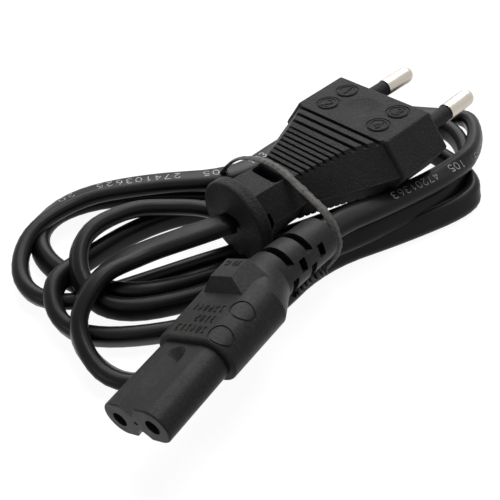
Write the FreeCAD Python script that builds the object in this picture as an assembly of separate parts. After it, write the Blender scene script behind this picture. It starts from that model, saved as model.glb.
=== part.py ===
import FreeCAD, Part
import math
import os

# Mains lead: a flat two-pin plug, a thin cable wound into a loose hank, and a
# two-pole figure eight connector, held together by a paper-covered wire tie.
# All sizes in millimetres.

# Plug
PIN_PITCH = 18.6
PIN_LENGTH = 19.0
PIN_DIAMETER = 4.0
PIN_SLEEVE_LENGTH = 10.0
PIN_SLEEVE_DIAMETER = 3.6
PIN_SHANK_DIAMETER = 2.8
PIN_TOE_IN = 1.66
PIN_TAIL_LENGTH = 10.0
COLLAR_LENGTH = 14.2
PLUG_HALF_HEIGHT = 6.85
COLLAR_RIDGE_HALF_WIDTH = 17.65
COLLAR_FLAT_HALF_WIDTH = 12.7
EDGE_ROUND = 0.7
GRIP_END = 32.5
NECK_HALF_WIDTH = 3.9
NECK_RIDGE_HALF_WIDTH = 7.4
NECK_HALF_HEIGHT = 5.5
WIDE_RIB_COUNT = 3
WIDE_RIB_PITCH = 2.3
FINE_RIB_COUNT = 8
FINE_RIB_PITCH = 1.36
RIB_GROOVE_SHARE = 0.42
RIB_GROOVE_DEPTH = 0.8
RELIEF_END = 43.0
PLUG_RING_END = 46.0
PLUG_RING_RADIUS = 9.0
PLUG_STEM_RADIUS = 3.3
WINDOW_LENGTH = 2.8
WINDOW_HALF_WIDTH = 3.7

# Connector
POLE_PITCH = 8.6
NOSE_LENGTH = 15.6
NOSE_RADIUS = 3.52
NOTCH_DEPTH = 2.2
SOCKET_DIAMETER = 3.0
SOCKET_DEPTH = 13.0
CONTACT_BORE = 2.4
CONTACT_WALL = 0.45
INSERT_ROOT_LENGTH = 7.0
BODY_RADIUS = 5.0
BODY_FRONT_RADIUS = 4.7
BODY_END = 30.5
BARREL_START = 37.0
BARREL_RADIUS = 5.1
BARREL_END = 54.0
BARREL_END_RADIUS = 4.5
BARREL_STEM_RADIUS = 3.1
BARREL_DROOP = 8.5
SLOT_WIDTH = 1.8
FIRST_SLOT_X = 39.9
SLOT_PITCH = 3.0
SLOT_COUNT = 4
BOSS_HALF_TOP = 2.7
BOSS_HALF_FOOT = 5.8
BOSS_HEIGHT = 7.6
BOSS_FRONT = 27.2
BOSS_REAR = 33.6

# Cable
CABLE_DIAMETER = 3.6
CORE_DIAMETER = 1.5
CORE_OFFSET = 0.85
COPPER_DIAMETER = 0.8

# Tie
TIE_WIDTH = 2.0
TIE_THICKNESS = 0.8
TIE_WIRE = 0.4
TIE_TAIL_TURNS = 2.0

# Where the two mouldings lie
PLUG_AT = FreeCAD.Vector(17.10, 31.70, 16.7)
PLUG_HEADING = 42.4
PLUG_PITCH = -4.2
PLUG_ROLL = -6.9
CONNECTOR_AT = FreeCAD.Vector(-31.60, -47.50, 13.0)
CONNECTOR_HEADING = -125.0
CONNECTOR_PITCH = 3.0
CONNECTOR_ROLL = 29.0
TIE_AT = FreeCAD.Vector(-8.23, 9.11, 0.0)
TIE_HEADING = 40.0

# Cable route, from the plug's sleeve to the connector's barrel
ROUTE = [
    (-17.9, -0.2, 13.2),
    (-26.0, -2.6, 12.2),
    (-35.5, -5.4, 10.2),
    (-45.6, -11.2, 11.2),
    (-47.8, -23.2, 6.0),
    (-38.8, -31.7, 1.8),
    (-27.3, -29.7, 1.8),
    (-12.3, -19.2, 1.8),
    (3.8, -0.2, 3.0),
    (20.7, 9.2, 1.8),
    (36.5, 17.0, 1.8),
    (41.2, 26.8, 1.8),
    (37.2, 37.3, 1.8),
    (24.2, 44.0, 1.8),
    (5.7, 37.0, 1.8),
    (-10.0, 16.2, 3.0),
    (-25.3, 10.8, 4.6),
    (-37.3, 5.3, 4.6),
    (-47.8, -1.0, 5.6),
    (-53.1, -10.7, 6.6),
    (-49.3, -19.6, 3.4),
    (-38.3, -21.3, 1.8),
    (-17.3, -16.4, 1.8),
    (1.2, 2.8, 3.0),
    (9.1, 8.4, 1.8),
    (18.3, 13.8, 1.8),
    (13.7, 20.2, 1.8),
    (5.9, 12.6, 1.8),
    (-1.4, 5.9, 3.0),
    (-22.3, -5.4, 2.2),
    (-38.8, -9.4, 7.2),
    (-49.3, -6.2, 1.8),
    (-56.8, 4.3, 1.8),
    (-48.3, 14.3, 1.8),
    (-31.3, 17.8, 1.8),
    (-12.5, 19.0, 3.0),
    (-3.8, 32.8, 1.8),
    (10.7, 44.8, 1.8),
    (25.2, 49.3, 2.2),
    (35.2, 44.3, 6.2),
    (38.2, 32.3, 5.6),
    (31.7, 20.8, 2.6),
    (19.7, 12.3, 5.0),
    (7.2, 2.8, 6.8),
    (-5.3, -3.3, 6.2),
    (-22.3, -11.0, 3.4),
    (-39.8, -16.2, 4.2),
    (-47.3, -10.4, 7.2),
    (-47.8, -0.2, 10.8),
    (-39.0, 6.7, 10.8),
    (-30.5, 9.7, 9.0),
    (-22.3, 10.3, 8.6),
    (-15.0, 9.3, 5.6),
    (-7.2, 12.9, 3.0),
    (2.2, 23.4, 1.8),
    (10.7, 32.2, 1.8),
    (20.5, 35.6, 1.8),
    (23.2, 26.4, 1.8),
    (11.0, 23.0, 1.8),
    (-4.4, 9.5, 3.0),
    (-21.3, 1.3, 1.8),
    (-37.3, -7.7, 1.8),
    (-49.3, -14.2, 1.8),
    (-59.8, -8.7, 2.0),
    (-61.6, 4.3, 4.6),
    (-52.3, 15.3, 6.2),
    (-35.3, 20.3, 7.0),
    (-16.1, 21.4, 8.0),
    (-5.3, 35.0, 6.8),
    (5.2, 47.8, 6.6),
    (18.2, 56.3, 6.4),
    (34.2, 55.3, 6.4),
    (42.7, 46.3, 7.2),
    (40.7, 33.3, 8.4),
    (28.9, 17.4, 9.6),
    (13.9, 6.4, 12.4),
    (3.9, 3.2, 16.2),
    (0.5, -1.6, 16.0),
]


def vec(x, y, z):
    return FreeCAD.Vector(x, y, z)


def save(name, shape):
    shape.exportStep("parts/" + name + ".step")
    print(name, round(shape.Volume, 2), "valid", shape.isValid(), "solids", len(shape.Solids))


def polygon(points):
    return Part.makePolygon(points + [points[0]])


def box(x0, x1, y0, y1, z0, z1):
    return Part.makeBox(x1 - x0, y1 - y0, z1 - z0, vec(x0, y0, z0))


def rod(start, direction, radius, length):
    return Part.makeCylinder(radius, length, start, direction)


def stadium(x, half_width, radius):
    # closed outline across the X axis, two flats joined by half circles
    c = half_width - radius
    top = Part.LineSegment(vec(x, -c, radius), vec(x, c, radius)).toShape()
    right = Part.Arc(vec(x, c, radius), vec(x, c + radius, 0), vec(x, c, -radius)).toShape()
    low = Part.LineSegment(vec(x, c, -radius), vec(x, -c, -radius)).toShape()
    left = Part.Arc(vec(x, -c, -radius), vec(x, -c - radius, 0), vec(x, -c, radius)).toShape()
    return Part.Wire([top, right, low, left])


def rounded_route(points, share, radius_limit=None):
    # straight runs joined by tangent arcs
    edges = []
    last = points[0]
    radii = []
    for before, corner, after in zip(points, points[1:], points[2:]):
        back = before - corner
        ahead = after - corner
        turn = math.pi - back.getAngle(ahead)
        shorter = min(back.Length, ahead.Length)
        reach = share * shorter
        radius = reach / math.tan(turn / 2)
        if radius_limit and radius > radius_limit:
            radius = radius_limit
            reach = radius * math.tan(turn / 2)
        radii.append(radius)
        back.normalize()
        ahead.normalize()
        a = corner + back * reach
        b = corner + ahead * reach
        middle_way = back + ahead
        middle_way.normalize()
        centre_distance = radius / math.cos(turn / 2)
        m = corner + middle_way * (centre_distance - radius)
        edges.append(Part.LineSegment(last, a).toShape())
        edges.append(Part.Arc(a, m, b).toShape())
        last = b
    edges.append(Part.LineSegment(last, points[-1]).toShape())
    return Part.Wire(edges), radii


def tube(points, radius, share=0.45, radius_limit=None):
    path, radii = rounded_route(points, share, radius_limit)
    way = points[1] - points[0]
    ring = Part.Wire([Part.makeCircle(radius, points[0], way)])
    solid = path.makePipeShell([ring], True, False)
    return solid, radii, path.Length


def hexagon(x, ridge, flat, height):
    return polygon([vec(x, ridge, 0), vec(x, flat, height), vec(x, -flat, height),
                    vec(x, -ridge, 0), vec(x, -flat, -height), vec(x, flat, -height)])


def edges_at(shape, x):
    # edges that lie in one plane across the X axis
    found = []
    for edge in shape.Edges:
        if abs(edge.BoundBox.XMin - x) < 1e-6 and abs(edge.BoundBox.XMax - x) < 1e-6:
            found.append(edge)
    return found


def pin_frame(side):
    # each pin leans inward towards its tip
    way = vec(math.cos(math.radians(PIN_TOE_IN)), -side * math.sin(math.radians(PIN_TOE_IN)), 0)
    return vec(0, side * PIN_PITCH / 2, 0), way


def pin_parts(side):
    start, way = pin_frame(side)
    bare = PIN_LENGTH - PIN_SLEEVE_LENGTH
    radius = PIN_DIAMETER / 2
    front = rod(start + way * PIN_SLEEVE_LENGTH, way, radius, bare - radius)
    tip = Part.makeSphere(radius, start + way * (PIN_LENGTH - radius))
    shank = rod(start - way * 4.0, way, PIN_SHANK_DIAMETER / 2, PIN_SLEEVE_LENGTH + 4.0)
    tail = rod(start - way * PIN_TAIL_LENGTH, way, 1.1, PIN_TAIL_LENGTH - 4.0)
    pin = front.fuse(tip).fuse(shank).fuse(tail).removeSplitter()
    strand_hole = rod(start - way * PIN_TAIL_LENGTH, way, COPPER_DIAMETER / 2, 3.0)
    pin = pin.cut(strand_hole)
    sleeve = rod(start, way, PIN_SLEEVE_DIAMETER / 2, PIN_SLEEVE_LENGTH)
    sleeve = sleeve.cut(rod(start - way, way, PIN_SHANK_DIAMETER / 2, PIN_SLEEVE_LENGTH + 2))
    return pin, sleeve


def placement(at, heading, pitch, roll):
    turn = FreeCAD.Rotation(vec(0, 0, 1), heading)
    nod = FreeCAD.Rotation(vec(0, 1, 0), pitch)
    return FreeCAD.Placement(at, turn.multiply(nod).multiply(FreeCAD.Rotation(vec(1, 0, 0), roll)))


os.makedirs("parts", exist_ok=True)
plug_place = placement(PLUG_AT, PLUG_HEADING, PLUG_PITCH, PLUG_ROLL)


# Plug moulding: six-sided collar, ribbed grip, windowed strain relief
collar = Part.Face(hexagon(-COLLAR_LENGTH, COLLAR_RIDGE_HALF_WIDTH, COLLAR_FLAT_HALF_WIDTH,
                           PLUG_HALF_HEIGHT)).extrude(vec(COLLAR_LENGTH, 0, 0))
collar = collar.makeFillet(EDGE_ROUND, collar.Edges)


def grip_outline(z, root, middle, neck):
    # plan outline of the grip at one height: two hollow flanks and two straight ends
    start = 0.6 - COLLAR_LENGTH
    waist = (start - GRIP_END) / 2
    flank = Part.Arc(vec(start, root, z), vec(waist, middle, z), vec(-GRIP_END, neck, z)).toShape()
    end = Part.LineSegment(vec(-GRIP_END, neck, z), vec(-GRIP_END, -neck, z)).toShape()
    other = Part.Arc(vec(-GRIP_END, -neck, z), vec(waist, -middle, z), vec(start, -root, z)).toShape()
    front = Part.LineSegment(vec(start, -root, z), vec(start, root, z)).toShape()
    return Part.Wire([flank, end, other, front])


flat_root = COLLAR_FLAT_HALF_WIDTH - 0.8
ridge_root = COLLAR_RIDGE_HALF_WIDTH - 0.7
flat_middle = (flat_root + NECK_HALF_WIDTH) / 2 - 0.9
ridge_middle = (ridge_root + NECK_RIDGE_HALF_WIDTH) / 2 + 0.6
grip = Part.makeLoft([
    grip_outline(-PLUG_HALF_HEIGHT, flat_root, flat_middle, NECK_HALF_WIDTH),
    grip_outline(0, ridge_root, ridge_middle, NECK_RIDGE_HALF_WIDTH),
    grip_outline(PLUG_HALF_HEIGHT, flat_root, flat_middle, NECK_HALF_WIDTH)], True, True)
for side in (1, -1):
    # the grip thins towards the neck
    wedge = Part.Face(polygon([vec(-COLLAR_LENGTH - 6.0, 0, side * PLUG_HALF_HEIGHT),
                               vec(-GRIP_END, 0, side * NECK_HALF_HEIGHT),
                               vec(-GRIP_END - 1, 0, side * NECK_HALF_HEIGHT),
                               vec(-GRIP_END - 1, 0, side * (PLUG_HALF_HEIGHT + 1))]))
    wedge.translate(vec(0, -COLLAR_RIDGE_HALF_WIDTH, 0))
    grip = grip.cut(wedge.extrude(vec(0, 2 * COLLAR_RIDGE_HALF_WIDTH, 0)))
rib_pitches = [WIDE_RIB_PITCH] * WIDE_RIB_COUNT + [FINE_RIB_PITCH] * FINE_RIB_COUNT
x = -COLLAR_LENGTH - 0.2
for pitch in rib_pitches:
    # a groove across the top and one across the underside
    groove = pitch * RIB_GROOVE_SHARE
    drop = max(0, (-x - COLLAR_LENGTH - 6.0) / (GRIP_END - COLLAR_LENGTH - 6.0))
    surface = PLUG_HALF_HEIGHT - drop * (PLUG_HALF_HEIGHT - NECK_HALF_HEIGHT)
    for side in (1, -1):
        low = min(side * (surface - RIB_GROOVE_DEPTH), side * (surface + 2))
        high = max(side * (surface - RIB_GROOVE_DEPTH), side * (surface + 2))
        cutter = box(x - groove, x, -COLLAR_RIDGE_HALF_WIDTH, COLLAR_RIDGE_HALF_WIDTH, low, high)
        grip = grip.cut(cutter)
    x = x - pitch
relief = Part.makeLoft([
    hexagon(0.5 - GRIP_END, NECK_RIDGE_HALF_WIDTH, NECK_HALF_WIDTH, NECK_HALF_HEIGHT),
    hexagon(-RELIEF_END - 0.5, NECK_RIDGE_HALF_WIDTH - 0.4, NECK_HALF_WIDTH + 0.2,
            NECK_HALF_HEIGHT + 0.9)], True, True)
stem_core = rod(vec(-RELIEF_END - 1, 0, 0), vec(1, 0, 0), PLUG_STEM_RADIUS, RELIEF_END - GRIP_END + 2)
top_window = box(-GRIP_END - 1.6 - WINDOW_LENGTH, -GRIP_END - 1.6, -WINDOW_HALF_WIDTH, WINDOW_HALF_WIDTH,
                 -PLUG_RING_RADIUS, PLUG_RING_RADIUS)
top_window = top_window.makeFillet(1.1, [e for e in top_window.Edges if abs(e.tangentAt(0).z) > 0.9])
side_window = box(-RELIEF_END, 2.0 - RELIEF_END, -PLUG_RING_RADIUS, PLUG_RING_RADIUS, -2.8, 2.2)
relief = relief.cut(top_window.fuse(side_window).cut(stem_core))
end_ring = rod(vec(-PLUG_RING_END, 0, 0), vec(1, 0, 0), PLUG_RING_RADIUS, PLUG_RING_END - RELIEF_END)
end_ring = end_ring.makeFillet(EDGE_ROUND, end_ring.Edges)
plug = collar.fuse(grip).fuse(relief).fuse(end_ring)
for x, y in ((-4.05, 7.3), (-4.05, -7.3), (-10.2, 7.3), (-10.2, -7.3)):
    ring = rod(vec(x, y, PLUG_HALF_HEIGHT - 0.2), vec(0, 0, 1), 2.65, 1.0)
    plug = plug.cut(ring.cut(rod(vec(x, y, PLUG_HALF_HEIGHT - 0.2), vec(0, 0, 1), 2.3, 1.0)))
dish_radius = 17.0
plug = plug.cut(Part.makeSphere(dish_radius, vec(-7.0, 0, PLUG_HALF_HEIGHT + dish_radius - 0.45)))

# Pins, their insulating sleeves and the bridge that holds them
bridge_half = PIN_PITCH / 2 + 2.7
bridge = box(-6.6, -3.0, -bridge_half, bridge_half, -3.4, 3.4)
bridge = bridge.makeFillet(0.8, [e for e in bridge.Edges if abs(e.tangentAt(e.FirstParameter).x) > 0.9])
pins = []
sleeves = []
for side in (1, -1):
    pin, sleeve = pin_parts(side)
    pins.append(pin)
    sleeves.append(sleeve)
    bridge = bridge.cut(pin)

# Insulated cores inside the plug, and their bare copper ends
plug_cores = []
plug_strands = []
for side in (1, -1):
    start, way = pin_frame(side)
    strand_end = start - way * PIN_TAIL_LENGTH
    core_end = start - way * (PIN_TAIL_LENGTH + 2.5)
    core_route = [vec(-PLUG_RING_END, side * CORE_OFFSET, 0), vec(-25.0, side * CORE_OFFSET, 0),
                  start - way * (PIN_TAIL_LENGTH + 5.5), core_end]
    core, radii, length = tube(core_route, CORE_DIAMETER / 2, 0.42, 3.0)
    plug_cores.append(core)
    plug_strands.append(rod(core_end, way, COPPER_DIAMETER / 2, 5.5))
sleeves = [sleeve.cut(plug) for sleeve in sleeves]
for shape in pins + [bridge] + plug_cores + plug_strands:
    plug = plug.cut(shape)
for shape in [plug, bridge] + pins + sleeves + plug_cores + plug_strands:
    shape.Placement = plug_place

save("plug_body", plug)
save("plug_pin_bridge", bridge)
for i in range(2):
    save("plug_pin_%d" % (i + 1), pins[i])
    save("pin_sleeve_%d" % (i + 1), sleeves[i])
    save("plug_core_%d" % (i + 1), plug_cores[i])
    save("plug_strands_%d" % (i + 1), plug_strands[i])


# Connector: hard figure eight nose and its two sockets
nose_half_width = POLE_PITCH / 2 + NOSE_RADIUS
nose_profile = Part.Face(stadium(-NOSE_LENGTH - INSERT_ROOT_LENGTH, nose_half_width, NOSE_RADIUS))
insert = nose_profile.extrude(vec(NOSE_LENGTH + INSERT_ROOT_LENGTH, 0, 0))
insert = insert.makeFillet(0.35, edges_at(insert, 0))
notch_end = -NOSE_LENGTH + 3.2
for side in (1, -1):
    apex = side * (NOSE_RADIUS - NOTCH_DEPTH)
    brim = side * (NOSE_RADIUS + 1.0)
    half = NOTCH_DEPTH + 1.0
    vee = polygon([vec(notch_end, 0, apex), vec(notch_end, half, brim), vec(notch_end, -half, brim)])
    insert = insert.cut(Part.Face(vee).extrude(vec(20, 0, 0)))
    insert = insert.cut(Part.makeCone(0, half, half, vec(notch_end, 0, apex), vec(0, 0, side)))
insert = insert.cut(Part.makeSphere(0.45, vec(0.1, 0, 0)))
contacts = []
connector_strands = []
connector_cores = []
contact_radius = CONTACT_BORE / 2 + CONTACT_WALL
hinge = vec(-BARREL_START, 0, 0)
droop = FreeCAD.Rotation(vec(0, 1, 0), -BARREL_DROOP)
barrel_way = droop.multVec(vec(-1, 0, 0))
mouth_centre = hinge + barrel_way * (BARREL_END - BARREL_START)
for side in (1, -1):
    y = side * POLE_PITCH / 2
    contact = rod(vec(-SOCKET_DEPTH - 1.0, y, 0), vec(1, 0, 0), contact_radius, SOCKET_DEPTH - 1.5)
    contact = contact.cut(rod(vec(-SOCKET_DEPTH, y, 0), vec(1, 0, 0), CONTACT_BORE / 2, SOCKET_DEPTH))
    stalk = rod(vec(-SOCKET_DEPTH - 6.0, y, 0), vec(1, 0, 0), 1.0, 5.0)
    contact = contact.fuse(stalk)
    contact = contact.cut(rod(vec(-SOCKET_DEPTH - 6.0, y, 0), vec(1, 0, 0), COPPER_DIAMETER / 2, 3.0))
    contacts.append(contact)
    mouth = rod(vec(-SOCKET_DEPTH, y, 0), vec(1, 0, 0), SOCKET_DIAMETER / 2, SOCKET_DEPTH + 1)
    seat = rod(vec(-SOCKET_DEPTH - 1.0, y, 0), vec(1, 0, 0), contact_radius, SOCKET_DEPTH - 1.5)
    insert = insert.cut(mouth).cut(seat)
    insert = insert.cut(rod(vec(-SOCKET_DEPTH - 6.0, y, 0), vec(1, 0, 0), 1.0, 5.0))
    strand_end = vec(-SOCKET_DEPTH - 6.0, y, 0)
    core_start = vec(-SOCKET_DEPTH - 6.5, y, 0)
    copper = rod(core_start, vec(1, 0, 0), COPPER_DIAMETER / 2, 3.5)
    connector_strands.append(copper)
    core_route = [core_start, vec(-28.0, y, 0), vec(-BARREL_START - 1.0, side * CORE_OFFSET, 0),
                  mouth_centre + vec(0, side * CORE_OFFSET, 0)]
    core, radii, length = tube(core_route, CORE_DIAMETER / 2, 0.45, 12.0)
    connector_cores.append(core)
    insert = insert.cut(core).cut(copper)

# Connector moulding: oval grip, thumb boss, shoulder and slotted barrel
grip_oval = Part.makeLoft([
    stadium(-NOSE_LENGTH, POLE_PITCH / 2 + BODY_FRONT_RADIUS, BODY_FRONT_RADIUS),
    stadium(-BODY_END, POLE_PITCH / 2 + BODY_RADIUS, BODY_RADIUS)], True, True)
grip_oval = grip_oval.makeFillet(0.6, edges_at(grip_oval, -NOSE_LENGTH))
shoulder = Part.makeLoft([
    stadium(-BODY_END, POLE_PITCH / 2 + BODY_RADIUS, BODY_RADIUS),
    stadium(-BODY_END - 2.0, POLE_PITCH / 2 + BODY_RADIUS - 1.2, BODY_RADIUS + 0.1),
    stadium(-BARREL_START + 2.0, BARREL_RADIUS + 1.4, BARREL_RADIUS + 0.3),
    stadium(-BARREL_START, BARREL_RADIUS + 0.3, BARREL_RADIUS + 0.1)], True, False)
barrel = Part.makeCone(BARREL_END_RADIUS, BARREL_RADIUS, BARREL_END - BARREL_START + 2.0,
                       vec(-BARREL_END, 0, 0), vec(1, 0, 0))
barrel = barrel.makeFillet(0.5, edges_at(barrel, -BARREL_END))
for number in range(SLOT_COUNT):
    # slots above and below the cable take turns with short windows at its sides
    x = -FIRST_SLOT_X - number * SLOT_PITCH
    slot = rod(vec(x - SLOT_WIDTH / 2, 0, 0), vec(1, 0, 0), BARREL_RADIUS + 2, SLOT_WIDTH)
    slot = slot.cut(rod(vec(x - SLOT_WIDTH, 0, 0), vec(1, 0, 0), BARREL_STEM_RADIUS, SLOT_WIDTH * 2))
    side_band = box(x - SLOT_WIDTH, x + SLOT_WIDTH, -BARREL_RADIUS * 2, BARREL_RADIUS * 2, -1.3, 1.3)
    if number % 2 == 0:
        barrel = barrel.cut(slot.cut(side_band))
    else:
        barrel = barrel.cut(slot.common(side_band))
barrel.rotate(hinge, vec(0, 1, 0), -BARREL_DROOP)
boss = Part.Face(polygon([
    vec(-BOSS_REAR, BOSS_HALF_FOOT, 4.0), vec(-BOSS_REAR, BOSS_HALF_TOP, BOSS_HEIGHT),
    vec(-BOSS_REAR, -BOSS_HALF_TOP, BOSS_HEIGHT), vec(-BOSS_REAR, -BOSS_HALF_FOOT, 4.0),
    vec(-BOSS_REAR, -2.0, 0.0), vec(-BOSS_REAR, 2.0, 0.0)]))
boss = boss.extrude(vec(BOSS_REAR - BOSS_FRONT, 0, 0))
slope = Part.Face(polygon([vec(-BOSS_FRONT, -10, BODY_RADIUS), vec(-BOSS_FRONT - 1.4, -10, BOSS_HEIGHT + 0.1),
                           vec(-BOSS_FRONT, -10, BOSS_HEIGHT + 0.1)]))
boss = boss.cut(slope.extrude(vec(0, 20, 0)))
connector = grip_oval.fuse(shoulder).fuse(barrel).fuse(boss).removeSplitter()
for x, y in ((-24.1, 6.8), (-17.9, 6.8)):
    ring = rod(vec(x, y, 2.0), vec(0, 0, 1), 2.0, 6.0)
    ring = ring.cut(rod(vec(x, y, 2.0), vec(0, 0, 1), 1.65, 6.0))
    shell = Part.makeLoft([
        stadium(-NOSE_LENGTH, POLE_PITCH / 2 + BODY_FRONT_RADIUS - 0.2, BODY_FRONT_RADIUS - 0.2),
        stadium(-BODY_END, POLE_PITCH / 2 + BODY_RADIUS - 0.2, BODY_RADIUS - 0.2)], True, True)
    connector = connector.cut(ring.cut(shell))

# The insert's root sits in the moulding, keyed by two flats
root_core = Part.Face(stadium(-NOSE_LENGTH - INSERT_ROOT_LENGTH, POLE_PITCH / 2 + NOSE_RADIUS,
                              NOSE_RADIUS)).extrude(vec(INSERT_ROOT_LENGTH, 0, 0))
connector = connector.cut(root_core)
for shape in connector_cores + connector_strands:
    connector = connector.cut(shape)

connector_place = placement(CONNECTOR_AT, CONNECTOR_HEADING, CONNECTOR_PITCH, CONNECTOR_ROLL)
for shape in [insert, connector] + contacts + connector_cores + connector_strands:
    shape.Placement = connector_place
barrel_mouth = connector_place.multVec(mouth_centre)
save("connector_body", connector)
save("connector_insert", insert)
for i in range(2):
    save("socket_contact_%d" % (i + 1), contacts[i])
    save("connector_core_%d" % (i + 1), connector_cores[i])
    save("connector_strands_%d" % (i + 1), connector_strands[i])

# Cable: one continuous length, looped five times to each side of the tie
route = [vec(x, y, z) for x, y, z in ROUTE]
route[0] = plug_place.multVec(vec(-PLUG_RING_END, 0, 0))
route[1] = plug_place.multVec(vec(-PLUG_RING_END - 9.0, 0, 0))
route[-2] = connector_place.multVec(mouth_centre + barrel_way * 6.0)
route[-1] = barrel_mouth
print("route ends", route[0], route[1], route[-2], route[-1])
cable, radii, length = tube(route, CABLE_DIAMETER / 2)
section = math.pi * CABLE_DIAMETER ** 2 / 4
print("cable length", round(length, 1), "volume over section", round(cable.Volume / section, 1))
print("bend radii", [round(r, 1) for r in radii])
save("cable", cable)

# Tie: a paper-covered wire bent round the whole bundle, its ends twisted
tie_turn = FreeCAD.Rotation(vec(0, 0, 1), TIE_HEADING)
tie_place = FreeCAD.Placement(TIE_AT, tie_turn)


def tie_point(w, z):
    # w runs to the near right, across the bundle; z is up
    return vec(0, -w, z)


tie_corners = [
    (0.0, 0.4), (18.6, 0.4), (19.6, 6.5), (19.3, 12.0), (18.6, 15.4), (16.4, 18.2), (12.0, 19.4),
    (7.3, 20.0), (3.7, 21.0), (-1.5, 21.2), (-8.3, 18.6), (-13.2, 15.2), (-18.4, 8.6), (-18.2, 0.4),
    (0.0, 0.4)]
tie_line, tie_radii = rounded_route([tie_point(w, z) for w, z in tie_corners], 0.45, 3.0)


def tie_ring(thickness, width):
    outer = tie_line.makeOffset2D(thickness / 2, 2)
    inner = tie_line.makeOffset2D(-thickness / 2, 2)
    solids = []
    for outline in (outer, inner):
        outline.translate(vec(-width / 2, 0, 0))
        solids.append(Part.Face(outline).extrude(vec(width, 0, 0)))
    solids.sort(key=lambda solid: solid.Volume)
    return solids[1].cut(solids[0])


ribbon = tie_ring(TIE_THICKNESS, TIE_WIDTH)
wire = tie_ring(TIE_WIRE, TIE_WIRE)
ribbon = ribbon.cut(wire)

# The two ends of the tie, twisted together and folded back under the barrel
tail_length = 11.5
tail_steps = 20
sections = []
for i in range(tail_steps + 1):
    turn = FreeCAD.Rotation(vec(1, 0, 0), 360.0 * TIE_TAIL_TURNS * i / tail_steps)
    corners = [(1.15, 0.75), (-1.15, 0.75), (-1.15, -0.75), (1.15, -0.75)]
    ring = [turn.multVec(vec(0, y, z)) + vec(i * tail_length / tail_steps, 0, 0) for y, z in corners]
    sections.append(polygon(ring))
tail = Part.makeLoft(sections, True, True)
tail_start = tie_place.multVec(tie_point(19.0, 6.4) + vec(-0.8, 0, 0))
tail.Placement = FreeCAD.Placement(tail_start, FreeCAD.Rotation(vec(0, 0, 1), 210.0))
for shape in (ribbon, wire):
    shape.Placement = tie_place
tail = tail.cut(ribbon)
save("tie_ribbon", ribbon)
save("tie_wire", wire)
save("tie_tail", tail)
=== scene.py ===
import bpy
import math
from mathutils import Matrix, Vector


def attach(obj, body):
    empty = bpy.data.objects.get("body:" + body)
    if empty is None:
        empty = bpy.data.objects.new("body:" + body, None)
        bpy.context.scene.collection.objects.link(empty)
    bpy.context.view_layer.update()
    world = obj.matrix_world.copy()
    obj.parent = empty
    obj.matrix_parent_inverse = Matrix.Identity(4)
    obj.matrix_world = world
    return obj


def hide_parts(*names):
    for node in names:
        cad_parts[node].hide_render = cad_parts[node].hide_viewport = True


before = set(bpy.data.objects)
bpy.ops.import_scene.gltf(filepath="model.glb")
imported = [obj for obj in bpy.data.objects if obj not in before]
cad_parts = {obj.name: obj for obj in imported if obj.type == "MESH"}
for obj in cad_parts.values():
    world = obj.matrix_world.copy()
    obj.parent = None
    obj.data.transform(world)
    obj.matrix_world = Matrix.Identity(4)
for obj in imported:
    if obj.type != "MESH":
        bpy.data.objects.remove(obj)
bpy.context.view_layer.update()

# Camera: the lead is seen from the front and well above, with a slightly long lens. Its
# connector points towards the viewer and its plug's pins away to the right.
camera_data = bpy.data.cameras.new("camera")
camera_data.lens = 61.2
camera_data.sensor_width = 36.0
camera = bpy.data.objects.new("camera", camera_data)
camera.location = (-0.0133, -0.1272, 0.127)
camera.rotation_euler = (math.radians(46.5), 0, 0)
bpy.context.scene.collection.objects.link(camera)
bpy.context.scene.camera = camera


# Cable: one length of flat two-core cable, its jacket soft satin black plastic. It leaves
# the plug's sleeve, is wound into a hank to both sides of the tie, and ends in the barrel.
def add_object(name, mesh, material=None):
    piece = bpy.data.objects.new(name, mesh)
    bpy.context.scene.collection.objects.link(piece)
    if material:
        mesh.materials.append(material)
    return piece


def mesh_from(name, points, faces, smooth=True):
    mesh = bpy.data.meshes.new(name)
    mesh.from_pydata([tuple(p) for p in points], [], faces)
    mesh.update()
    for polygon in mesh.polygons:
        polygon.use_smooth = smooth
    return mesh


def new_material(name):
    material = bpy.data.materials.new(name)
    material.use_nodes = True
    return material, material.node_tree, material.node_tree.nodes["Principled BSDF"]


def noise(tree, scale, detail=3.0):
    place = tree.nodes.new("ShaderNodeTexCoord")
    texture = tree.nodes.new("ShaderNodeTexNoise")
    texture.inputs["Scale"].default_value = scale
    texture.inputs["Detail"].default_value = detail
    tree.links.new(place.outputs["Object"], texture.inputs["Vector"])
    return texture.outputs["Fac"]


def ramp(tree, value, stops):
    # each stop is a place on the ramp and its colour, or one number for a grey
    node = tree.nodes.new("ShaderNodeValToRGB")
    while len(node.color_ramp.elements) < len(stops):
        node.color_ramp.elements.new(0.5)
    for element, (position, colour) in zip(node.color_ramp.elements, stops):
        element.position = position
        element.color = (colour, colour, colour, 1) if isinstance(colour, float) else (*colour, 1)
    tree.links.new(value, node.inputs["Fac"])
    return node.outputs["Color"]


def uneven(tree, shader, socket, scale, low, high):
    # the socket wanders between two values in soft patches
    tree.links.new(ramp(tree, noise(tree, scale), [(0.3, low), (0.7, high)]), shader.inputs[socket])


def bump(tree, shader, height, strength, distance):
    node = tree.nodes.new("ShaderNodeBump")
    node.inputs["Strength"].default_value = strength
    node.inputs["Distance"].default_value = distance
    tree.links.new(height, node.inputs["Height"])
    tree.links.new(node.outputs["Normal"], shader.inputs["Normal"])


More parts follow.
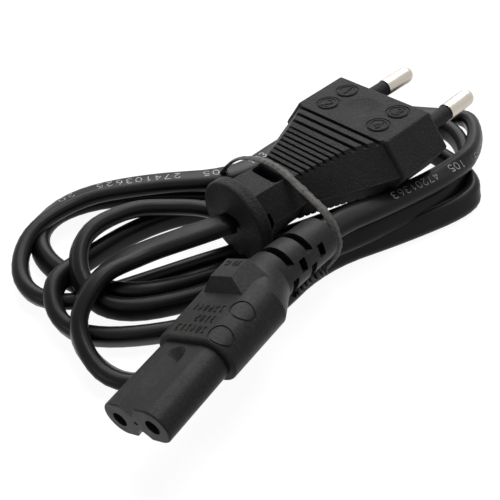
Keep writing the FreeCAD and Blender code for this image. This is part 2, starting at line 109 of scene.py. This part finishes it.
# each point of the route: x, y, z in millimetres, and how far the flat cable's upper edge leans
# to the left of its run, in degrees: 0 stands on edge, 90 lies flat
cable_route = [
    (-16.778, 0.765, 13.331, 85), (-23.7, -1.7, 12.4, 88), (-35.5, -5.3, 10.2, 80),
    (-43.3, -13.2, 11.2, 45), (-46.7, -22.3, 6, 8), (-38.6, -31.8, 2.4, -44), (-27.3, -30.1, 2.4, -44),
    (-9.7, -14, 2.7, 15), (1, 0.6, 2.8, 40), (20.7, 10.3, 2.5, 43), (36.4, 19.3, 2.6, 38),
    (38.7, 25.8, 2.8, 5), (34, 35, 2.7, 0), (24.2, 44, 2.7, 0), (5.7, 37, 2.7, 0), (-10, 16.2, 3, 0),
    (-25.4, 14.3, 4.8, 0), (-37.5, 7.7, 5.2, 0), (-47.4, -3, 5.8, 0), (-53.1, -10.7, 6.6, -5),
    (-49.3, -19.6, 3.4, -18), (-38.2, -21.2, 2.65, -20), (-17.3, -16.4, 2.65, -15), (1.2, 2.8, 3.2, 0),
    (9.1, 8.4, 2.7, 0), (18.3, 13.8, 2.7, 0), (13.7, 20.2, 2.7, 0), (5.9, 12.6, 2.7, 0),
    (-1.4, 5.9, 3.2, 0), (-22.3, -5.5, 2.8, 0), (-37.7, -13.5, 5.6, -5), (-53.4, -3.7, 3, -20),
    (-59.7, 6.6, 3, -30), (-54.5, 18.4, 2.6, -60), (-32.8, 23.7, 2.2, -75), (-12.5, 19, 3, -40),
    (-3.8, 32.8, 2.2, -70), (10.7, 44.8, 2, -80), (25.2, 49.3, 2.6, -60), (35.2, 44.3, 6.2, -5),
    (38.2, 32.3, 5.6, -5), (32, 21.6, 3, -35), (19.7, 12.3, 5, -45), (7.2, 2.8, 6.8, -45),
    (-5.3, -3.3, 6.2, -30), (-22.3, -11, 3.6, 0), (-39.8, -16.2, 4.2, 0), (-47.3, -10.4, 7.2, -18),
    (-47.8, -0.2, 10.8, -30), (-39, 7.7, 10.8, -44), (-30.6, 10.5, 9, -46), (-22.3, 10.6, 8.6, -46),
    (-15, 9.3, 5.6, -20), (-7.2, 12.9, 3.2, 0), (2.2, 23.4, 2.7, 0), (10.7, 32.2, 2.7, 0),
    (20.5, 35.6, 2.7, 0), (23.2, 26.4, 2.7, 0), (12.5, 17.5, 2.7, 0), (-4.5, 7.6, 3.2, 0),
    (-21.3, 0.5, 2.9, 25), (-37.4, -6.2, 2.6, 44), (-49.5, -12.2, 2.5, 44), (-59.5, -8.6, 2.8, 15),
    (-61.9, 4.2, 4.6, -22), (-52.8, 16.8, 6.2, -75), (-35.4, 21, 7, -88), (-16.1, 21.4, 8, -88),
    (-5.3, 35, 6.8, -88), (5, 44.3, 6.6, -88), (17.5, 49.7, 6.4, -88), (33.1, 47.6, 6.4, -85),
    (41.5, 46, 7.2, -25), (38.8, 30.6, 8.4, -12), (29.3, 19.9, 9.6, -72), (14.1, 7.1, 12.4, -75),
    (4.062, 0.557, 13.158, -70), (0.288, -4.084, 13.622, -62),
]
cable_curve = bpy.data.curves.new("cable_line", "CURVE")
cable_curve.dimensions = "3D"
cable_curve.resolution_u = 6
cable_spline = cable_curve.splines.new("NURBS")
cable_spline.points.add(len(cable_route) - 1)
for control, (x, y, z, lean) in zip(cable_spline.points, cable_route):
    control.co = (x / 1000, y / 1000, z / 1000, 1)
cable_spline.order_u = 3
cable_spline.use_endpoint_u = True
cable_line = bpy.data.objects.new("cable_line", cable_curve)
line_mesh = bpy.data.meshes.new_from_object(cable_line)
middle_line = [v.co.copy() for v in line_mesh.vertices]

CABLE_WIDTH = 0.0054
CABLE_THICKNESS = 0.0034


def lean_at(point, last):
    # the lean between the two nearest route points; the search starts where the last one ended
    places = [Vector(spot[:3]) / 1000 for spot in cable_route[last:last + 4]]
    near = min(range(len(places)), key=lambda k: (places[k] - point).length)
    best = None
    for k in (near - 1, near):
        if 0 <= k < len(places) - 1:
            step = places[k + 1] - places[k]
            share = max(0.0, min(1.0, (point - places[k]).dot(step) / step.length_squared))
            off = (places[k] + step * share - point).length
            if best is None or off < best[0]:
                best = (off, last + k, share)
    off, k, share = best
    share = share * share * (3 - 2 * share)
    return k, cable_route[k][3] * (1 - share) + cable_route[k + 1][3] * share


def cable_frames(points):
    frames = []
    last = 0
    for i, point in enumerate(points):
        way = (points[min(i + 1, len(points) - 1)] - points[max(i - 1, 0)]).normalized()
        last, lean = lean_at(point, max(last - 1, 0))
        left = Vector((-way.y, way.x, 0)).normalized()
        wide = Vector((0, 0, 1)) * math.cos(math.radians(lean)) + left * math.sin(math.radians(lean))
        wide = (wide - way * wide.dot(way)).normalized()
        frames.append((point, way, wide, way.cross(wide)))
    return frames


def cable_outline(width, thickness, count=10):
    r = thickness / 2
    c = width / 2 - r
    outline = []
    for k in range(count + 1):
        a = -math.pi / 2 + math.pi * k / count
        outline.append((c + r * math.cos(a), r * math.sin(a)))
    for k in range(count + 1):
        a = math.pi / 2 + math.pi * k / count
        outline.append((-c + r * math.cos(a), r * math.sin(a)))
    return outline


def skin(rings, around, first=0):
    # faces between rings of points that follow each other from the first number on, ends closed
    faces = []
    for i in range(rings - 1):
        ring = first + i * around
        for k in range(around):
            beside = (k + 1) % around
            faces.append((ring + k, ring + beside, ring + around + beside, ring + around + k))
    faces.append(tuple(first + k for k in range(around - 1, -1, -1)))
    faces.append(tuple(first + (rings - 1) * around + k for k in range(around)))
    return faces


frames_on_line = cable_frames(middle_line)
outline = cable_outline(CABLE_WIDTH, CABLE_THICKNESS)
cable_points = []
for point, way, wide, thin in frames_on_line:
    for u, v in outline:
        cable_points.append(point + wide * u + thin * v)
cable_faces = skin(len(frames_on_line), len(outline))
cable = add_object("cable_jacket", mesh_from("cable_jacket", cable_points, cable_faces))
jacket_material, tree, shader = new_material("jacket")
uneven(tree, shader, "Base Color", 60.0, (0.006, 0.006, 0.0065), (0.012, 0.012, 0.013))
uneven(tree, shader, "Roughness", 180.0, 0.30, 0.39)
bump(tree, shader, noise(tree, 2500.0), 0.08, 0.0001)
shader.inputs["Specular IOR Level"].default_value = 0.12
cable.data.materials.append(jacket_material)
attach(cable, "root")
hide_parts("cable")
cable_length = sum((b - a).length for a, b in zip(middle_line, middle_line[1:]))
tuple(middle_line[0])
[tuple(p) for p in middle_line]

# Mouldings: the plug and the connector's grip are soft matte PVC moulded over the wires,
# with a fine spark-eroded grain; they are one piece each and can't be taken apart.
def math_node(tree, operation, first, second=0.0):
    node = tree.nodes.new("ShaderNodeMath")
    node.operation = operation
    for socket, value in zip(node.inputs, (first, second)):
        if isinstance(value, (int, float)):
            socket.default_value = value
        else:
            tree.links.new(value, socket)
    return node.outputs[0]


def near_plane(tree, point, normal, half):
    # 1 on a hair line where the two halves of the mould met, 0 elsewhere
    place = tree.nodes.new("ShaderNodeTexCoord")
    dot = tree.nodes.new("ShaderNodeVectorMath")
    dot.operation = "DOT_PRODUCT"
    tree.links.new(place.outputs["Object"], dot.inputs[0])
    dot.inputs[1].default_value = normal
    off = math_node(tree, "SUBTRACT", dot.outputs["Value"], Vector(point).dot(Vector(normal)))
    return math_node(tree, "LESS_THAN", math_node(tree, "ABSOLUTE", off), half)


def grained_plastic(name, low, high, roughness, grain_scale, grain_depth, seam=None):
    material, tree, shader = new_material(name)
    tone = ramp(tree, noise(tree, 90.0), [(0.3, low), (0.7, high)])
    speckle = ramp(tree, noise(tree, grain_scale * 0.8, 2.0), [(0.35, 0.72), (0.62, 1.0), (0.78, 1.5)])
    mix = tree.nodes.new("ShaderNodeMix")
    mix.data_type = "RGBA"
    mix.blend_type = "MULTIPLY"
    mix.inputs["Factor"].default_value = 1.0
    tree.links.new(tone, mix.inputs["A"])
    tree.links.new(speckle, mix.inputs["B"])
    colour = mix.outputs["Result"]
    height = noise(tree, grain_scale, 4.0)
    if seam:
        seam_and_glint = near_plane(tree, *seam)
        # the parting line is a real raised ridge (the bump below); its lighter grey is a painted highlight
        # where that ridge catches the light
        over = tree.nodes.new("ShaderNodeMix")
        over.data_type = "RGBA"
        tree.links.new(seam_and_glint, over.inputs["Factor"])
        tree.links.new(colour, over.inputs["A"])
        over.inputs["B"].default_value = (0.05, 0.05, 0.05, 1)
        colour = over.outputs["Result"]
        height = math_node(tree, "ADD", height, seam_and_glint)
    tree.links.new(colour, shader.inputs["Base Color"])
    uneven(tree, shader, "Roughness", 350.0, roughness - 0.05, roughness + 0.05)
    bump(tree, shader, height, 1.0, grain_depth)
    shader.inputs["Specular IOR Level"].default_value = 0.1
    return material


def dress(node, material):
    piece = bpy.data.objects[node]
    for material_slot in piece.material_slots:
        material_slot.material = material


def turned(heading, pitch, roll):
    return (Matrix.Rotation(math.radians(heading), 3, "Z") @ Matrix.Rotation(math.radians(pitch), 3, "Y")
            @ Matrix.Rotation(math.radians(roll), 3, "X"))


plug_turn = turned(42.4, -4.2, -6.9)
plug_at = Vector((0.0171, 0.0317, 0.0167))
connector_turn = turned(-125.0, 3.0, 29.0)
connector_at = Vector((-0.0316, -0.0475, 0.013))
SEAM_HALF_WIDTH = 0.0001
plug_seam = (plug_at, tuple(plug_turn.col[2]), SEAM_HALF_WIDTH)
moulding_material = grained_plastic("moulding", (0.016, 0.016, 0.017), (0.023, 0.023, 0.024),
                                    0.55, 2500.0, 0.0003, plug_seam)
connector_material = grained_plastic("connector_moulding", (0.018, 0.0178, 0.0176), (0.026, 0.0256, 0.025),
                                     0.45, 2000.0, 0.00006)
nose_material = grained_plastic("nose", (0.020, 0.020, 0.021), (0.026, 0.026, 0.028), 0.42, 3000.0, 0.00004)
dress("plug_body", moulding_material)
dress("pin_sleeve_1", moulding_material)
dress("pin_sleeve_2", moulding_material)
dress("connector_body", connector_material)
dress("connector_insert", nose_material)


# Metal: nickel-plated brass pins that the plug's bridge holds, bronze contact tubes pressed into
# the connector's nose, and bare copper strands crimped in the tails of both.
def metal(name, low, high, roughness):
    material, tree, shader = new_material(name)
    shader.inputs["Metallic"].default_value = 1.0
    uneven(tree, shader, "Base Color", 120.0, low, high)
    uneven(tree, shader, "Roughness", 700.0, roughness - 0.06, roughness + 0.06)
    bump(tree, shader, noise(tree, 3000.0), 0.1, 0.00002)
    return material


nickel = metal("nickel", (0.46, 0.42, 0.365), (0.56, 0.515, 0.455), 0.34)
bronze = metal("bronze", (0.60, 0.42, 0.22), (0.70, 0.52, 0.30), 0.35)
copper = metal("copper", (0.70, 0.33, 0.20), (0.80, 0.42, 0.26), 0.35)
for i in (1, 2):
    dress("plug_pin_%d" % i, nickel)
    dress("socket_contact_%d" % i, bronze)
    dress("plug_strands_%d" % i, copper)
    dress("connector_strands_%d" % i, copper)

# Wires inside: the hard bridge that holds both pins, and the brown and blue insulation of the two
# cores, which run from the pins to the contacts. All of it is sealed in the mouldings.
bridge_material = grained_plastic("bridge", (0.60, 0.59, 0.55), (0.68, 0.67, 0.63), 0.5, 1500.0, 0.00003)
brown_material = grained_plastic("core_brown", (0.10, 0.045, 0.02), (0.14, 0.06, 0.03), 0.4, 1500.0, 0.00002)
blue_material = grained_plastic("core_blue", (0.02, 0.06, 0.22), (0.03, 0.09, 0.30), 0.4, 1500.0, 0.00002)
dress("plug_pin_bridge", bridge_material)
for name in ("plug_core", "connector_core"):
    dress(name + "_1", brown_material)
    dress(name + "_2", blue_material)

# Tie's cover and wire: grey-black paper glued round a soft iron wire. The paper is fibrous and
# dull, and the bare wire has a rough drawn skin.
tie_material, tree, shader = new_material("tie_cover")
fibres = ramp(tree, noise(tree, 1100.0, 2.0),
              [(0.38, (0.010, 0.010, 0.009)), (0.47, (0.050, 0.047, 0.042)), (0.8, (0.080, 0.075, 0.068))])
tree.links.new(fibres, shader.inputs["Base Color"])
uneven(tree, shader, "Roughness", 500.0, 0.60, 0.75)
bump(tree, shader, noise(tree, 1800.0), 0.3, 0.00008)
wire_material = metal("tie_wire", (0.30, 0.29, 0.28), (0.38, 0.37, 0.36), 0.5)

# Tie's ribbon: a narrow strip, thin at its edges and thick over its wire, bent once round the
# whole bundle. It is creased a little where it was pressed down.
# Its corners are given as w, across the bundle to the near right, and z, up, in millimetres.
tie_corners = [
    (0.0, 0.55), (9.0, 0.5), (12.5, 0.6), (15.6, 3.0), (17.6, 6.6), (19.0, 9.8), (19.4, 13.0),
    (18.2, 15.8), (16.0, 18.1), (12.0, 19.4), (7.3, 20.1), (3.7, 21.0), (-1.5, 21.1), (-8.3, 18.5),
    (-13.2, 15.0), (-17.6, 9.2), (-18.1, 4.0), (-17.4, 1.0), (-13.0, 0.5),
]
tie_turn = Matrix.Rotation(math.radians(40.0), 3, "Z")
tie_at = Vector((-0.00823, 0.00911, 0))
tie_curve = bpy.data.curves.new("tie_line", "CURVE")
tie_curve.dimensions = "3D"
tie_curve.resolution_u = 8
tie_spline = tie_curve.splines.new("NURBS")
tie_spline.points.add(len(tie_corners) - 1)
for control, (w, z) in zip(tie_spline.points, tie_corners):
    control.co = (*(tie_at + tie_turn @ Vector((0, -w / 1000, z / 1000))), 1)
tie_spline.order_u = 3
tie_spline.use_cyclic_u = True
tie_mesh = bpy.data.meshes.new_from_object(bpy.data.objects.new("tie_line", tie_curve))
tie_path = [v.co.copy() for v in tie_mesh.vertices]
tie_middle_point = sum(tie_path, Vector()) / len(tie_path)
ribbon_half = [(-0.9, 0.09), (-0.45, 0.14), (-0.25, 0.3), (0, 0.36), (0.25, 0.3), (0.45, 0.14), (0.9, 0.09)]
ribbon_section = ribbon_half + [(a, -b) for a, b in reversed(ribbon_half)]
ribbon_points = []
ribbon_faces = []
count = len(ribbon_section)
for i, point in enumerate(tie_path):
    way = (tie_path[(i + 1) % len(tie_path)] - tie_path[i - 1]).normalized()
    flat = tie_turn @ Vector((1, 0, 0))
    lift = flat.cross(way).normalized()
    if lift.dot(point - tie_middle_point) < 0:
        lift = -lift
    crimp = 0.06 * math.sin(i * 1.7) + 0.05 * math.sin(i * 0.61)
    for a, b in ribbon_section:
        rise = b + crimp * abs(a) * 0.9
        ribbon_points.append(point + flat * (a * (1 + crimp)) / 1000 + lift * rise / 1000)
for i in range(len(tie_path)):
    j = (i + 1) % len(tie_path)
    for k in range(count):
        beside = (k + 1) % count
        ribbon_faces.append((i * count + k, i * count + beside, j * count + beside, j * count + k))
ribbon = add_object("tie_paper", mesh_from("tie_paper", ribbon_points, ribbon_faces), tie_material)
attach(ribbon, "root")
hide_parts("tie_ribbon")


# Tie's wire and tail: the wire lies inside the ribbon's bulge. Both ends of the strip are twisted
# together into a short tail, which is folded under the connector's barrel.
def ring_tube(name, path, radius, material, sides=8):
    # a round rod whose path comes back to its start
    points = []
    faces = []
    for i, point in enumerate(path):
        way = (path[(i + 1) % len(path)] - path[i - 1]).normalized()
        side = way.cross(Vector((0, 0, 1)) if abs(way.z) < 0.9 else Vector((1, 0, 0))).normalized()
        over = side.cross(way)
        for k in range(sides):
            turn = math.tau * k / sides
            points.append(point + (side * math.cos(turn) + over * math.sin(turn)) * radius)
    for i in range(len(path)):
        j = (i + 1) % len(path)
        for k in range(sides):
            beside = (k + 1) % sides
            faces.append((i * sides + k, j * sides + k, j * sides + beside, i * sides + beside))
    return add_object(name, mesh_from(name, points, faces), material)


iron_wire = ring_tube("iron_wire", tie_path, 0.00018, wire_material)
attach(iron_wire, "root")
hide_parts("tie_wire")

tail_corners = [(2.2, -3.6, 4.0), (0.8, -5.2, 4.7), (-1.4, -6.7, 4.6), (-2.8, -7.9, 3.8), (-4.2, -9.4, 3.0)]
TAIL_STEPS = 48
TAIL_SIDES = 8
TAIL_TURNS = 3.5
tail_line = []
for i in range(TAIL_STEPS + 1):
    share = i / TAIL_STEPS * (len(tail_corners) - 1)
    first = min(int(share), len(tail_corners) - 2)
    tail_line.append(Vector(tail_corners[first]).lerp(Vector(tail_corners[first + 1]), share - first) / 1000)
tail_points = []
tail_faces = []
for strand in (0, 1):
    first = len(tail_points)
    for i, point in enumerate(tail_line):
        turn = math.tau * TAIL_TURNS * i / TAIL_STEPS + math.pi * strand
        out = Vector((0.4 * math.cos(turn), -0.7 * math.cos(turn), 0.9 * math.sin(turn))).normalized()
        across = Vector((-0.45, -0.25, 0)).cross(out).normalized()
        swell = 1 + 0.25 * math.sin(i * 0.9)
        for k in range(TAIL_SIDES):
            a = math.tau * k / TAIL_SIDES
            tail_points.append(point + (out * (0.55 + 0.35 * swell * math.cos(a))
                                        + across * 0.85 * swell * math.sin(a)) / 1000)
    tail_faces += skin(TAIL_STEPS + 1, TAIL_SIDES, first)
twist_material, tree, shader = new_material("tie_twist")
folds = ramp(tree, noise(tree, 900.0, 2.0), [(0.36, (0.008, 0.008, 0.008)), (0.7, (0.028, 0.027, 0.026))])
tree.links.new(folds, shader.inputs["Base Color"])
uneven(tree, shader, "Roughness", 500.0, 0.5, 0.65)
bump(tree, shader, noise(tree, 1200.0), 0.4, 0.0001)
twist = add_object("tie_twist", mesh_from("tie_twist", tail_points, tail_faces), twist_material)
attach(twist, "root")
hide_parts("tie_tail")


# Figures: plain numbers in low relief are part of the plug's and the connector's mouldings. Those
# along the cable are a thin grey ink.
def arc(cx, cy, rx, ry, start, end, steps=10):
    return [(cx + rx * math.cos(math.radians(start + (end - start) * i / steps)),
             cy + ry * math.sin(math.radians(start + (end - start) * i / steps))) for i in range(steps + 1)]


FIGURES = {
    "0": [arc(0.5, 0.5, 0.5, 0.5, 0, 360, 16)],
    "1": [[(0.2, 0.75), (0.55, 1.0), (0.55, 0.0)]],
    "2": [arc(0.5, 0.7, 0.45, 0.3, 170, -40) + [(0.05, 0.0), (1.0, 0.0)]],
    "3": [arc(0.45, 0.75, 0.45, 0.25, 150, -90, 8), arc(0.45, 0.25, 0.5, 0.25, 90, -150, 8)],
    "4": [[(0.75, 0.0), (0.75, 1.0), (0.0, 0.3), (1.0, 0.3)]],
    "5": [[(0.9, 1.0), (0.15, 1.0), (0.1, 0.58)] + arc(0.45, 0.32, 0.5, 0.32, 120, -150, 10)],
    "6": [arc(0.5, 0.3, 0.45, 0.3, 0, 360, 12), arc(0.85, 0.35, 0.8, 0.7, 110, 175, 6)],
    "7": [[(0.0, 1.0), (1.0, 1.0), (0.35, 0.0)]],
}


def strokes(name, lines, place, width, height, material):
    # each run of a line becomes a low bar on the surface that place() describes
    points = []
    faces = []
    for line_points in lines:
        for (ax, ay), (bx, by) in zip(line_points, line_points[1:]):
            size = math.hypot(bx - ax, by - ay)
            if size < 1e-9:
                continue
            nx = -(by - ay) / size * width / 2
            ny = (bx - ax) / size * width / 2
            first = len(points)
            for c in (-height, height):
                for x, y in ((ax + nx, ay + ny), (bx + nx, by + ny), (bx - nx, by - ny), (ax - nx, ay - ny)):
                    points.append(place(x, y, c))
            faces += [tuple(first + k for k in face) for face in
                      ((4, 5, 6, 7), (3, 2, 1, 0), (0, 1, 5, 4), (1, 2, 6, 5), (2, 3, 7, 6), (3, 0, 4, 7))]
    piece = add_object(name, mesh_from(name, points, faces, False), material)
    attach(piece, "root")


def figures(text, x, y, width, height, gap):
    # a row of figures from (x, y) on, in millimetres
    lines = []
    for i, letter in enumerate(text):
        for line_points in FIGURES.get(letter, []):
            lines.append([(x + i * (width + gap) + px * width, y + py * height) for px, py in line_points])
    return lines


COLLAR_TOP = 6.85
RING_RADIUS = 2.0
ring_lines = []
for x, y, letter in ((-4.05, 7.3, "1"), (-10.2, 7.3, "2"), (-4.05, -7.3, "3"), (-10.2, -7.3, "4")):
    # the figures stand with their feet towards the grip
    ring_lines += [[(x + q - 1.2, y - p + 0.8) for p, q in line_points]
                   for line_points in figures(letter, 0, 0, 1.6, 2.4, 0)]
    ring_lines.append(arc(x, y, RING_RADIUS, RING_RADIUS, 0, 360, 16))


def plug_top(x, y, c):
    return plug_at + plug_turn @ (Vector((x, y, COLLAR_TOP + c)) / 1000)


strokes("plug_figures", ring_lines, plug_top, 0.32, 0.16, moulding_material)

NOSE_END = 15.6
GRIP_END = 30.5
BOSS_TOP = 7.6
ROW_PITCH = 2.6
connector_rows = []
for row, text in enumerate(("2 0 4 7 1 3", "3 1 0 5", "7 2 6 0 4 1")):
    connector_rows += [[(-17.2 - row * ROW_PITCH - q, 3.6 - p) for p, q in line_points]
                       for line_points in figures(text, 0.0, 0.0, 0.55, 1.5, 0.12)]


def connector_flat(x, y, c):
    # the grip grows a little thicker from the nose to its end
    share = (-x - NOSE_END) / (GRIP_END - NOSE_END)
    return connector_at + connector_turn @ (Vector((x, y, 4.7 + 0.3 * share + c)) / 1000)


strokes("connector_figures", connector_rows, connector_flat, 0.2, 0.14, connector_material)


def boss_top(x, y, c):
    return connector_at + connector_turn @ (Vector((x, y, BOSS_TOP + c)) / 1000)


boss_rows = [[(-31.8 - q, 1.9 - p) for p, q in line_points]
             for line_points in figures("305 12", 0, 0, 0.5, 1.1, 0.15)]
strokes("boss_figures", boss_rows, boss_top, 0.18, 0.12, connector_material)

ink_material, tree, shader = new_material("ink")
tree.links.new(ramp(tree, noise(tree, 1500.0), [(0.35, 0.08), (0.5, 0.30), (0.8, 0.38)]),
               shader.inputs["Base Color"])
uneven(tree, shader, "Roughness", 600.0, 0.4, 0.5)
bump(tree, shader, noise(tree, 2500.0), 0.05, 0.00005)
INK_WIDTH = 1.3
INK_HEIGHT = 1.7
travel = [0.0]
for a, b in zip(middle_line, middle_line[1:]):
    travel.append(travel[-1] + (b - a).length)


def cable_at(distance):
    i = 0
    while i < len(travel) - 2 and travel[i + 1] < distance:
        i += 1
    share = (distance - travel[i]) / (travel[i + 1] - travel[i])
    first = frames_on_line[i]
    second = frames_on_line[i + 1]
    return [a.lerp(b, share) for a, b in zip(first, second)]


def printed(name, text, first, direction, pitch):
    # figures on the flat face that looks outwards, read in the given direction from the first point
    first = Vector(first) / 1000
    start = travel[min(range(len(middle_line)), key=lambda i: (middle_line[i] - first).length)]

    def place(x, y, c):
        point, way, wide, thin = cable_at(start + direction * x / 1000)
        out = -thin.normalized()
        top = out.cross(way * direction).normalized()
        return point + top * (y - INK_HEIGHT / 2) / 1000 + out * (CABLE_THICKNESS / 2 + c / 1000)

    lines = figures(text, 0, 0, INK_WIDTH, INK_HEIGHT, pitch - INK_WIDTH)
    strokes(name, lines, place, 0.2, 0.03, ink_material)


printed("print_left", "105  274103625  20  310574", (-18.0, 21.5, 8), -1, 2.15)
printed("print_right", "2007305  105  47201363", (42.5, 40.0, 8), 1, 1.9)
printed("print_far", "103", (-12.0, 25.0, 8), 1, 1.9)
printed("print_small", "70", (-49, -4, 10.5), 1, 1.9)

# Table: a wide white sheet that the lead lies on. The camera and gloss see it white, and it
# keeps the lead's soft shadow.
def seen_or_mirrored(tree):
    # 1 for rays from the camera and for those that metal or gloss sends on, 0 for the rest
    path = tree.nodes.new("ShaderNodeLightPath")
    mirrored = math_node(tree, "MAXIMUM", path.outputs["Is Glossy Ray"], path.outputs["Is Transmission Ray"])
    return math_node(tree, "MAXIMUM", path.outputs["Is Camera Ray"], mirrored)


floor_mesh = mesh_from("table", [(-3, -3, 0), (3, -3, 0), (3, 3, 0), (-3, 3, 0)], [(0, 1, 2, 3)], False)
floor_material, tree, shader = new_material("table")
uneven(tree, shader, "Base Color", 2.0, 0.14, 0.16)
shader.inputs["Roughness"].default_value = 0.9
shader.inputs["Specular IOR Level"].default_value = 0.0
shader.inputs["Emission Color"].default_value = (1, 1, 1, 1)
tree.links.new(math_node(tree, "MULTIPLY", seen_or_mirrored(tree), 0.94), shader.inputs["Emission Strength"])
floor = add_object("table", floor_mesh, floor_material)

# Light: two wide softboxes behind the lead and one overhead give its tops their sheen, and two
# small weak ones in front lift its sides. The room is dim, and its backdrop is seen as white.
world = bpy.data.worlds.new("room")
world.use_nodes = True
tree = world.node_tree
backdrop = tree.nodes.new("ShaderNodeMapRange")
backdrop.inputs["To Min"].default_value = 0.03
backdrop.inputs["To Max"].default_value = 1.0
tree.links.new(seen_or_mirrored(tree), backdrop.inputs["Value"])
tree.nodes["Background"].inputs["Color"].default_value = (1, 1, 1, 1)
tree.links.new(backdrop.outputs["Result"], tree.nodes["Background"].inputs["Strength"])
bpy.context.scene.world = world
bpy.context.scene.view_settings.view_transform = "Standard"


def softbox(name, place, size, power):
    data = bpy.data.lights.new(name, "AREA")
    data.shape = "RECTANGLE"
    data.size = size[0]
    data.size_y = size[1]
    data.energy = power
    lamp = bpy.data.objects.new(name, data)
    lamp.location = place
    lamp.rotation_euler = (-Vector(place)).to_track_quat("-Z", "Y").to_euler()
    bpy.context.scene.collection.objects.link(lamp)


softbox("behind_light", (0.0, 0.42, 0.48), (0.65, 0.40), 4.4)
softbox("left_light", (-0.45, -0.50, 0.22), (0.3, 0.2), 0.7)
softbox("overhead_light", (0.10, 0.10, 0.60), (0.25, 0.2), 1.4)
softbox("front_light", (0.45, -0.33, 0.37), (0.4, 0.3), 0.1)
softbox("back_light", (0.05, 0.75, 0.45), (0.5, 0.25), 1.2)
